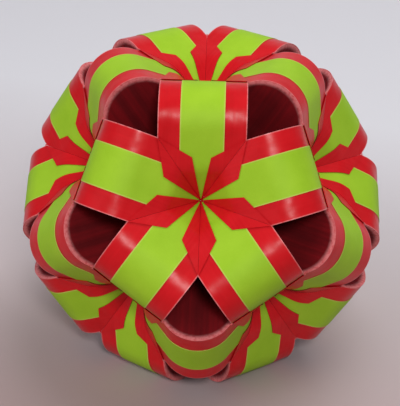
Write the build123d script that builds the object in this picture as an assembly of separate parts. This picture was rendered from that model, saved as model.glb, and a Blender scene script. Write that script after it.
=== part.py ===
from build123d import *
import math
import os

# Kusudama paper ball: thirty folded red units on the thirty edges of an icosahedron.
# Each unit carries one plain paper strip glued along its arch. Units are mm, +Z is up,
# and the origin is on the floor below the centre of the ball.

# Driving sizes
ball_radius = 87.5        # ball centre to the outer face of an arch at its crown
star_radius = 53.0        # ball centre to the point where five units meet
band_width = 40.0         # folded width of an arch
strip_share = 0.5         # width of the glued strip as a share of the arch
paper = 0.30              # red sheet
strip_paper = 0.15        # glued strip
glue_gap = 0.10           # between two sheets that lie on each other
seam_gap = 0.10           # between two neighbouring units

# Shape of the arch, seen from its side: angles are from the line between its two stars
foot_angle = 81.2         # slope of the arch where it leaves a star
shoulder_angle = 53.0     # slope above the bend
foot_length = 18.6        # straight part between the star and the bend
bend_radius = 12.0        # bend between the foot and the shoulder

# Turned-back flap that makes half of a star's petal, seen straight down on the star
petal_corner_along = 17.9   # from the star's centre along the seam to the widest point
petal_corner_across = 7.75  # from the seam to the widest point

# Side walls that run from the arch's long edges into the ball
well_radius = 24.0        # ball centre to the point that the three walls of a well aim at
well_mouth = 0.12         # share of the wall left open at that point

# Icosahedron
golden = (1 + math.sqrt(5)) / 2
half_edge = math.atan(1 / golden)             # star axis to the middle of an arch
half_face = math.atan(1 / golden ** 2)        # middle of an arch to the axis of a well
seam_angle = math.radians(36)                 # centre line of an arch to its seam, at a star
star_height = math.sqrt(0.2)                  # height of the five upper neighbours on a unit ball

A = math.radians(foot_angle)
B = math.radians(shoulder_angle)
foot_x = star_radius * math.sin(half_edge)
foot_z = star_radius * math.cos(half_edge)
run_in = 2.0              # the arch is drawn this far past the star, then trimmed
reach = 2 * ball_radius   # longer than anything in the unit

# Shoulder length and crown radius follow from the crown's height and the arch's symmetry
bend_x = bend_radius * (math.sin(A) - math.sin(B))
bend_z = bend_radius * (math.cos(B) - math.cos(A))
left_x = foot_x - foot_length * math.cos(A) - bend_x
left_z = ball_radius - foot_z - foot_length * math.sin(A) - bend_z
det = math.cos(B) * (1 - math.cos(B)) - math.sin(B) ** 2
shoulder_length = (left_x * (1 - math.cos(B)) - left_z * math.sin(B)) / det
crown_radius = (left_z * math.cos(B) - left_x * math.sin(B)) / det

# Sheets, as heights above the outer face of the arch
strip_low = glue_gap
strip_high = strip_low + strip_paper
flap_low = strip_high + glue_gap
flap_high = flap_low + paper
strip_width = band_width * strip_share


def half_path(offset):
    """Points of the left half of the arch's side view, at a height above its outer face."""
    x = -foot_x - run_in * math.cos(A)
    z = foot_z - run_in * math.sin(A)
    points = [(x, z)]
    x += (run_in + foot_length) * math.cos(A)
    z += (run_in + foot_length) * math.sin(A)
    points.append((x, z))
    middle = (A + B) / 2
    points.append((x + bend_radius * (math.sin(A) - math.sin(middle)),
                   z + bend_radius * (math.cos(middle) - math.cos(A))))
    x += bend_x
    z += bend_z
    points.append((x, z))
    points.append((x + shoulder_length * math.cos(B), z + shoulder_length * math.sin(B)))
    slopes = [A, A, middle, B, B]
    return [(px - offset * math.sin(s), pz + offset * math.cos(s))
            for (px, pz), s in zip(points, slopes)]


def arch_edges(offset, place):
    """Edges of the whole side view from left to right: lines, two bends and the crown."""
    left = [place(x, z) for x, z in half_path(offset)]
    right = [place(-x, z) for x, z in half_path(offset)]
    top = place(0, ball_radius + offset)
    return [
        Edge.make_line(left[0], left[1]),
        Edge.make_three_point_arc(left[1], left[2], left[3]),
        Edge.make_line(left[3], left[4]),
        Edge.make_three_point_arc(left[4], top, right[4]),
        Edge.make_line(right[4], right[3]),
        Edge.make_three_point_arc(right[3], right[2], right[1]),
        Edge.make_line(right[1], right[0]),
    ]


def in_side_view(x, z):
    return Vector(x, 0, z)


def sheet(low, high, width):
    """Bent sheet between two heights above the outer face of the arch."""
    lower = arch_edges(low, in_side_view)
    upper = arch_edges(high, in_side_view)
    ends = [Edge.make_line(lower[0] @ 0, upper[0] @ 0),
            Edge.make_line(lower[-1] @ 1, upper[-1] @ 1)]
    face = Face(Wire(lower + upper + ends))
    return extrude(face, amount=width / 2, dir=(0, 1, 0), both=True)


def cell(inset):
    """Four-sided cone that a unit may fill, its faces moved inwards by inset."""
    across = math.tan(half_face)
    along = math.tan(half_edge)
    lift = inset * math.sqrt(1 + 1 / along ** 2 + 1 / across ** 2)
    sections = []
    for z in (lift + paper, reach):
        x = (z - lift) * along
        y = (z - lift) * across
        corners = [(x, 0, z), (0, y, z), (-x, 0, z), (0, -y, z)]
        sections.append(Face(Wire.make_polygon([Vector(*c) for c in corners])))
    return loft(sections, ruled=True)


def petal_column(end, side):
    """Column along a star's axis whose plan is the flap: star centre, corner, seam's outer end."""
    axis = Vector(-end * math.sin(half_edge), 0, math.cos(half_edge))
    inwards = Vector(end * math.cos(half_edge), 0, math.sin(half_edge))
    seam_length = band_width / 2 / math.sin(seam_angle)
    c = math.cos(seam_angle)
    s = math.sin(seam_angle)
    corner = (petal_corner_along * c + petal_corner_across * s,
              petal_corner_along * s - petal_corner_across * c)
    plan = [(0, 0), corner, (seam_length * c, seam_length * s),
            (seam_length * c - paper * s, seam_length * s + paper * c), (-paper * s, paper * c)]
    points = [inwards * a + Vector(0, side * b, 0) for a, b in plan]
    return extrude(Face(Wire.make_polygon(points)), amount=reach, dir=axis)


def side_wall(side):
    """Sheet that runs from a long edge of the arch towards the bottom of a well."""
    aim = Vector(0, side * well_radius * math.sin(half_face), well_radius * math.cos(half_face))
    rim_y = side * band_width / 2
    sections = []
    for share in (well_mouth, 1.2):
        def place(x, z, share=share):
            return aim + (Vector(x, rim_y, z) - aim) * share
        rim = arch_edges(0, place)
        floor = Edge.make_line(rim[0] @ 0, rim[-1] @ 1)
        sections.append(Face(Wire(rim + [floor])))
    well = loft(sections, ruled=True)
    wall = well.moved(Location((0, -side * paper, 0))) - well
    outline = arch_edges(-paper / 2, in_side_view)
    outline.append(Edge.make_line(outline[0] @ 0, outline[-1] @ 1))
    under_arch = extrude(Face(Wire(outline)), amount=band_width / 2, dir=(0, 1, 0), both=True)
    below = Pos(0, 0, foot_z / 2) * Box(reach, band_width, foot_z)
    return wall & (cell(seam_gap / 2) & (under_arch + below))


def folded_unit():
    """One folded sheet: arch, two side walls and four flaps turned back at the stars."""
    own_cell = cell(seam_gap / 2)
    unit = sheet(-paper, 0, band_width) & own_cell
    edge_fold = (sheet(-paper, flap_high, band_width) & own_cell) - cell(seam_gap / 2 + paper)
    flaps = sheet(flap_low, flap_high, band_width) & own_cell
    columns = [petal_column(end, side) for end in (1, -1) for side in (1, -1)]
    unit += edge_fold
    for column in columns:
        unit += flaps & column
    for side in (1, -1):
        unit += side_wall(side)
    return unit


def glued_strip():
    """Plain strip along the arch, its ends tucked under the flaps."""
    return sheet(strip_low, strip_high, strip_width) & cell(seam_gap / 2 + paper + glue_gap)


def ball_axes():
    """Star directions: one straight up, then the upper five, the lower five and the lowest."""
    axes = [Vector(0, 0, 1)]
    ring = math.sqrt(1 - star_height ** 2)
    for sign, turn in ((1, -90), (-1, -54)):
        for k in range(5):
            angle = math.radians(turn + 72 * k)
            axes.append(Vector(ring * math.cos(angle), ring * math.sin(angle), sign * star_height))
    axes.append(Vector(0, 0, -1))
    return axes


def main():
    unit = folded_unit()
    strip = glued_strip()
    crown_up = Pos(0, 0, 0) * unit
    rest_axis = Location(Plane(origin=(0, 0, 0), x_dir=(math.cos(half_edge), 0, math.sin(half_edge)),
                               z_dir=(-math.sin(half_edge), 0, math.cos(half_edge)))).inverse()
    centre_height = (rest_axis * crown_up).bounding_box().max.Z
    axes = ball_axes()
    os.makedirs("parts", exist_ok=True)
    number = 0
    for i, first in enumerate(axes):
        for second in axes[i + 1:]:
            if abs(first.dot(second) - star_height) > 0.01:
                continue
            number += 1
            place = Location(Plane(origin=(0, 0, centre_height), x_dir=second - first,
                                   z_dir=first + second))
            export_step(place * unit, f"parts/unit_{number:02d}.step")
            export_step(place * strip, f"parts/strip_{number:02d}.step")
    print("units", number, "centre height", round(centre_height, 2),
          "solids", len(unit.solids()), len(strip.solids()),
          "shoulder", round(shoulder_length, 2), "crown", round(crown_radius, 2))


main()
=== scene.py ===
import math
import bpy
import numpy as np
from mathutils import Matrix, Vector


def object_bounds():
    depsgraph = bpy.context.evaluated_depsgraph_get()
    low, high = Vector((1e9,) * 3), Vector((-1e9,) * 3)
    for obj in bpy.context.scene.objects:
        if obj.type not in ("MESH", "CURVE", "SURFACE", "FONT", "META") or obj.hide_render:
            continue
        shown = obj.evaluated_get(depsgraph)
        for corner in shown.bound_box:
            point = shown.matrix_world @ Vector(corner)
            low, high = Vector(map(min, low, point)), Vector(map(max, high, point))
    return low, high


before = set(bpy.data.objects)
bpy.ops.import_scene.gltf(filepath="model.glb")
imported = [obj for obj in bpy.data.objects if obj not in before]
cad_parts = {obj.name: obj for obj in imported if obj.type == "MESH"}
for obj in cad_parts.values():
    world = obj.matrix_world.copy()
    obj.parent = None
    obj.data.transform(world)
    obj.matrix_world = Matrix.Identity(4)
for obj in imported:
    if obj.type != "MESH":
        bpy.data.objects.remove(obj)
cad_low, cad_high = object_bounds()
CENTRE = (Vector(cad_low) + Vector(cad_high)) / 2

STAR_HEIGHT = math.sqrt(0.2)               # height of the five upper stars on a unit ball
STAR_TILT = math.asin(STAR_HEIGHT)
HALF_BAND = 0.020                          # half the width of a red sheet, in metres
HALF_STRIP = 0.010                         # half the width of a green strip

RED_DARK, RED_LIGHT = (0.50, 0.0040, 0.0075, 1), (0.60, 0.0080, 0.0130, 1)
# Painted shade for the well walls: a deep red that stands in for the dim light inside the ball.
WELL_SHADE_DARK, WELL_SHADE_LIGHT = (0.115, 0.0015, 0.0040, 1), (0.190, 0.0025, 0.0060, 1)
GREEN_DARK, GREEN_LIGHT = (0.275, 0.485, 0.016, 1), (0.335, 0.555, 0.026, 1)
# Pale edge colour of the red sheet: part cut edge, part painted highlight.
RED_EDGE_AND_HIGHLIGHT = (0.80, 0.30, 0.30, 1)
GREEN_EDGE = (0.66, 0.60, 0.20, 1)
# Floor colours: the near one is painted shadow tinged by reddish light bounced off the ball, and
# the far one is the lit backdrop.
FLOOR_SHADOW_AND_BOUNCE, FLOOR_FAR = (0.33, 0.215, 0.205, 1), (0.70, 0.69, 0.72, 1)

FLOOR_FRONT, FLOOR_LENGTH, FLOOR_HALF_WIDTH = -2.5, 3.2, 3.0
BEND_RADIUS, WALL_TOP = 0.5, 3.5

CAMERA_TURNS = (math.radians(-0.3), math.radians(-0.7), math.radians(-1.7))
CAMERA_DISTANCE = 0.718
CAMERA_LENS, SENSOR_WIDTH = 127.8, 36
CAMERA_SHIFT = (-0.0055, -0.0050)
WORLD_COLOUR, WORLD_STRENGTH = (0.9, 0.92, 1.0, 1), 0.22


class Value:
    """One number carried by a shader socket; arithmetic on it adds Math nodes."""

    def __init__(self, shader, socket):
        self.shader = shader
        self.socket = socket

    def math(self, operation, *others, clamp=False):
        node = self.shader.node("ShaderNodeMath", {"operation": operation, "use_clamp": clamp},
                                [self, *others])
        return Value(self.shader, node.outputs[0])

    def __add__(self, other):
        return self.math("ADD", other)

    def __sub__(self, other):
        return self.math("SUBTRACT", other)

    def __rsub__(self, other):
        return Value(self.shader, self.shader.node(
            "ShaderNodeMath", {"operation": "SUBTRACT"}, [other, self]).outputs[0])

    def __mul__(self, other):
        return self.math("MULTIPLY", other)

    def __truediv__(self, other):
        return self.math("DIVIDE", other)

    __radd__ = __add__
    __rmul__ = __mul__

    def size(self):
        return self.math("ABSOLUTE")

    def over(self, start, end):
        """0 at start and 1 at end, straight between and held outside."""
        return ((self - start) / (end - start)).math("ADD", 0.0, clamp=True)


class Shader:
    """A material's nodes, added one at a time."""

    def __init__(self, name):
        self.material = bpy.data.materials.new(name)
        self.material.use_nodes = True
        self.tree = self.material.node_tree
        self.surface = self.tree.nodes["Principled BSDF"]

    def node(self, kind, settings=None, inputs=None):
        made = self.tree.nodes.new(kind)
        for key, value in (settings or {}).items():
            setattr(made, key, value)
        pairs = inputs.items() if isinstance(inputs, dict) else enumerate(inputs or [])
        for key, value in pairs:
            self.put(made.inputs[key], value)
        return made

    def put(self, socket, value):
        if isinstance(value, Value):
            value = value.socket
        if isinstance(value, bpy.types.NodeSocket):
            self.tree.links.new(value, socket)
        else:
            socket.default_value = value

    def place(self):
        return self.node("ShaderNodeTexCoord").outputs["Object"]

    def along(self, vector, direction, offset=0.0):
        """Distance of a point along a direction, less an offset."""
        made = self.node("ShaderNodeVectorMath", {"operation": "DOT_PRODUCT"},
                         [vector, tuple(direction)])
        return Value(self, made.outputs["Value"]) - offset

    def noise(self, vector, scale, detail=3.0, rough=0.5):
        made = self.node("ShaderNodeTexNoise", None,
                         {"Vector": vector, "Scale": scale, "Detail": detail, "Roughness": rough})
        return Value(self, made.outputs["Fac"])

    def mix(self, amount, first, second):
        made = self.node("ShaderNodeMix", {"data_type": "RGBA"})
        self.put(made.inputs["Factor"], amount)
        colours = [s for s in made.inputs if s.type == "RGBA"]
        self.put(colours[0], first)
        self.put(colours[1], second)
        return [s for s in made.outputs if s.type == "RGBA"][0]

    def bump(self, height, distance, strength=1.0, normal=None):
        inputs = {"Height": height, "Distance": distance, "Strength": strength}
        if normal is not None:
            inputs["Normal"] = normal
        return self.node("ShaderNodeBump", None, inputs).outputs["Normal"]

    def finish(self, **sockets):
        for name, value in sockets.items():
            self.put(self.surface.inputs[name.replace("_", " ")], value)
        return self.material


def ball_axes():
    """Star directions in the order the units were numbered: top, upper five, lower five, lowest."""
    axes = [Vector((0, 0, 1))]
    ring = math.sqrt(1 - STAR_HEIGHT ** 2)
    for sign, turn in ((1, -90), (-1, -54)):
        for k in range(5):
            angle = math.radians(turn + 72 * k)
            axes.append(Vector((ring * math.cos(angle), ring * math.sin(angle),
                                sign * STAR_HEIGHT)))
    axes.append(Vector((0, 0, -1)))
    return axes


def unit_frames():
    """(along, across, out) of each unit: towards its second star, across its arch, up its crown."""
    axes = ball_axes()
    frames = []
    for i, first in enumerate(axes):
        for second in axes[i + 1:]:
            if abs(first.dot(second) - STAR_HEIGHT) > 0.01:
                continue
            out = (first + second).normalized()
            along = (second - first).normalized()
            frames.append((along, out.cross(along), out))
    return frames


def red_sheet(name, along, across, out, seed):
    """Glossy red sheet: streaks along the arch, pale edges that are part cut edge and part painted
    highlight, and painted shade in deep red on the walls inside the wells.
    """
    s = Shader(name)
    p = s.place()
    y = s.along(p, across, CENTRE.dot(across))
    x = s.along(p, along, CENTRE.dot(along))
    z = s.along(p, out, CENTRE.dot(out))
    # The wall faces inside the wells get painted shade: a deep red, lighter and darker along the
    # fan creases.
    facing = s.along(s.node("ShaderNodeNewGeometry").outputs["Normal"], across).size()
    side = facing.over(0.45, 0.75)
    rim = y.size().over(HALF_BAND - 0.00045, HALF_BAND - 0.0001)
    shaded_well = side * (1 - rim)
    streak = s.node("ShaderNodeCombineXYZ", None, [x * 40.0, y * 900.0, z * 40.0]).outputs[0]
    streaks = s.noise(streak, 1.0, 4.0)
    cloud = s.noise(p, 90.0 + seed, 2.0)
    tone = (cloud * 0.6 + streaks * 0.4).over(0.3, 0.7)
    red = s.mix(tone, RED_DARK, RED_LIGHT)
    crease = s.node("ShaderNodeCombineXYZ", None, [x * 260.0, y * 30.0, z * 12.0]).outputs[0]
    fans = s.noise(crease, 1.0, 2.0)
    well_shade = s.mix(fans.over(0.35, 0.65), WELL_SHADE_DARK, WELL_SHADE_LIGHT)
    colour = s.mix(shaded_well, red, well_shade)
    worn = s.noise(p, 700.0, 3.0).over(0.30, 0.55)
    # Pale line along both long edges: part pale cut edge, part painted edge highlight, broken up by
    # noise.
    edge = y.size().over(HALF_BAND - 0.0006, HALF_BAND - 0.0002) * (worn * 0.6 + 0.4)
    colour = s.mix(edge * 0.6, colour, RED_EDGE_AND_HIGHLIGHT)
    fine = s.noise(p, 2600.0, 3.0)
    wave = s.noise(p, 60.0 + seed, 2.0)
    normal = s.bump(wave, 0.0016, 0.5)
    normal = s.bump(streaks, 0.00006, 0.6, normal)
    normal = s.bump(fine, 0.00002, 0.6, normal)
    normal = s.bump(fans * shaded_well, 0.0012, 0.8, normal)
    rough = streaks * 0.12 + 0.25 + shaded_well * 0.45
    return s.finish(Base_Color=colour, Roughness=rough, Normal=normal,
                    Specular_IOR_Level=0.24)


def green_strip(name, along, across, out, seed):
    """Matt yellow-green strip: soft mottling, fibre, a thin pale line along both cut edges."""
    s = Shader(name)
    p = s.place()
    y = s.along(p, across, CENTRE.dot(across))
    cloud = s.noise(p, 70.0 + seed, 3.0)
    grain = s.noise(p, 1800.0, 4.0, 0.6)
    tone = (cloud * 0.7 + grain * 0.3).over(0.3, 0.7)
    green = s.mix(tone, GREEN_DARK, GREEN_LIGHT)
    edge = y.size().over(HALF_STRIP - 0.0007, HALF_STRIP - 0.0002)
    colour = s.mix(edge * 0.4, green, GREEN_EDGE)
    normal = s.bump(s.noise(p, 55.0 + seed, 2.0), 0.0012, 0.4)
    normal = s.bump(grain, 0.00005, 0.8, normal)
    return s.finish(Base_Color=colour, Roughness=cloud * 0.1 + 0.55, Normal=normal,
                    Specular_IOR_Level=0.22)


for number, (along, across, out) in enumerate(unit_frames(), 1):
    seed = (number * 7) % 11
    for stem, make in (("unit", red_sheet), ("strip", green_strip)):
        name = f"{stem}_{number:02d}"
        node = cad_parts[name]
        paint = make(f"{name}_paper", along, across, out, seed)
        for slot in node.material_slots:
            slot.material = paint


def backdrop():
    """Floor that curves up into a wall: floor, quarter circle and wall, swept sideways."""
    depth = np.linspace(0, 1, 24)
    turn = np.linspace(0, math.pi / 2, 24)
    floor_back = FLOOR_FRONT + FLOOR_LENGTH
    floor_y = np.concatenate([FLOOR_FRONT + depth * FLOOR_LENGTH,
                              floor_back + BEND_RADIUS * np.sin(turn),
                              [floor_back + BEND_RADIUS]])
    floor_z = np.concatenate([depth * 0, BEND_RADIUS * (1 - np.cos(turn)), [WALL_TOP]])
    across = np.array([-FLOOR_HALF_WIDTH, FLOOR_HALF_WIDTH])
    count = len(floor_y)
    points = np.stack([np.repeat(across, count), np.tile(floor_y, 2), np.tile(floor_z, 2)], 1)
    first = np.arange(count - 1)
    faces = np.stack([first + count, first + count + 1, first + 1, first], 1)
    mesh = bpy.data.meshes.new("backdrop")
    mesh.from_pydata(points.tolist(), [], faces.tolist())
    mesh.polygons.foreach_set("use_smooth", np.ones(len(faces), dtype=bool))
    floor = bpy.data.objects.new("backdrop", mesh)
    bpy.context.scene.collection.objects.link(floor)
    s = Shader("backdrop_paper")
    p = s.place()
    # Painted shadow with reddish bounce light darkens the floor near the ball and fades to the lit
    # backdrop colour higher up.
    height = s.along(p, (0.10, 0.35, 1.0))
    colour = s.mix(height.over(-0.06, 0.11), FLOOR_SHADOW_AND_BOUNCE, FLOOR_FAR)
    mesh.materials.append(s.finish(Base_Color=colour, Roughness=0.8))


def lamp(name, place, size, power, colour, mirrored):
    """Square lamp aimed at the ball; only a mirrored one shows as a streak on the glossy sheets."""
    data = bpy.data.lights.new(name, "AREA")
    data.shape = "RECTANGLE"
    data.size, data.size_y = size
    data.energy = power
    data.color = colour
    obj = bpy.data.objects.new(name, data)
    bpy.context.scene.collection.objects.link(obj)
    obj.location = place
    obj.rotation_euler = (CENTRE - Vector(place)).to_track_quat("-Z", "Y").to_euler()
    obj.visible_glossy = mirrored


def camera():
    """Camera straight out from the star that faces the viewer, turned by a small tilt and roll."""
    basis = Matrix(((1, 0, 0),
                    (0, math.sin(STAR_TILT), math.cos(STAR_TILT)),
                    (0, -math.cos(STAR_TILT), math.sin(STAR_TILT))))
    axis = Vector(CAMERA_TURNS)
    turned = Matrix.Rotation(axis.length, 3, axis) @ basis
    data = bpy.data.cameras.new("camera")
    data.sensor_width = SENSOR_WIDTH
    data.lens = CAMERA_LENS
    data.shift_x, data.shift_y = CAMERA_SHIFT
    data.clip_start = 0.01
    obj = bpy.data.objects.new("camera", data)
    bpy.context.scene.collection.objects.link(obj)
    rotation = turned.transposed().to_4x4()
    obj.matrix_world = Matrix.Translation(CENTRE + turned[2] * CAMERA_DISTANCE) @ rotation
    bpy.context.scene.camera = obj


backdrop()
lamp("key", (0.16, -1.20, 0.92), (0.26, 0.26), 9.0, (1.0, 0.99, 0.97), True)
lamp("fill", (-0.9, -0.7, 0.6), (0.9, 0.9), 6, (0.95, 0.97, 1.0), False)
lamp("top", (0.4, 0.2, 1.6), (1.2, 1.2), 16, (1.0, 1.0, 1.0), False)
world = bpy.data.worlds.new("room")
world.use_nodes = True
background = world.node_tree.nodes["Background"]
background.inputs["Color"].default_value = WORLD_COLOUR
background.inputs["Strength"].default_value = WORLD_STRENGTH
bpy.context.scene.world = world
bpy.context.scene.view_settings.view_transform = "Standard"
camera()
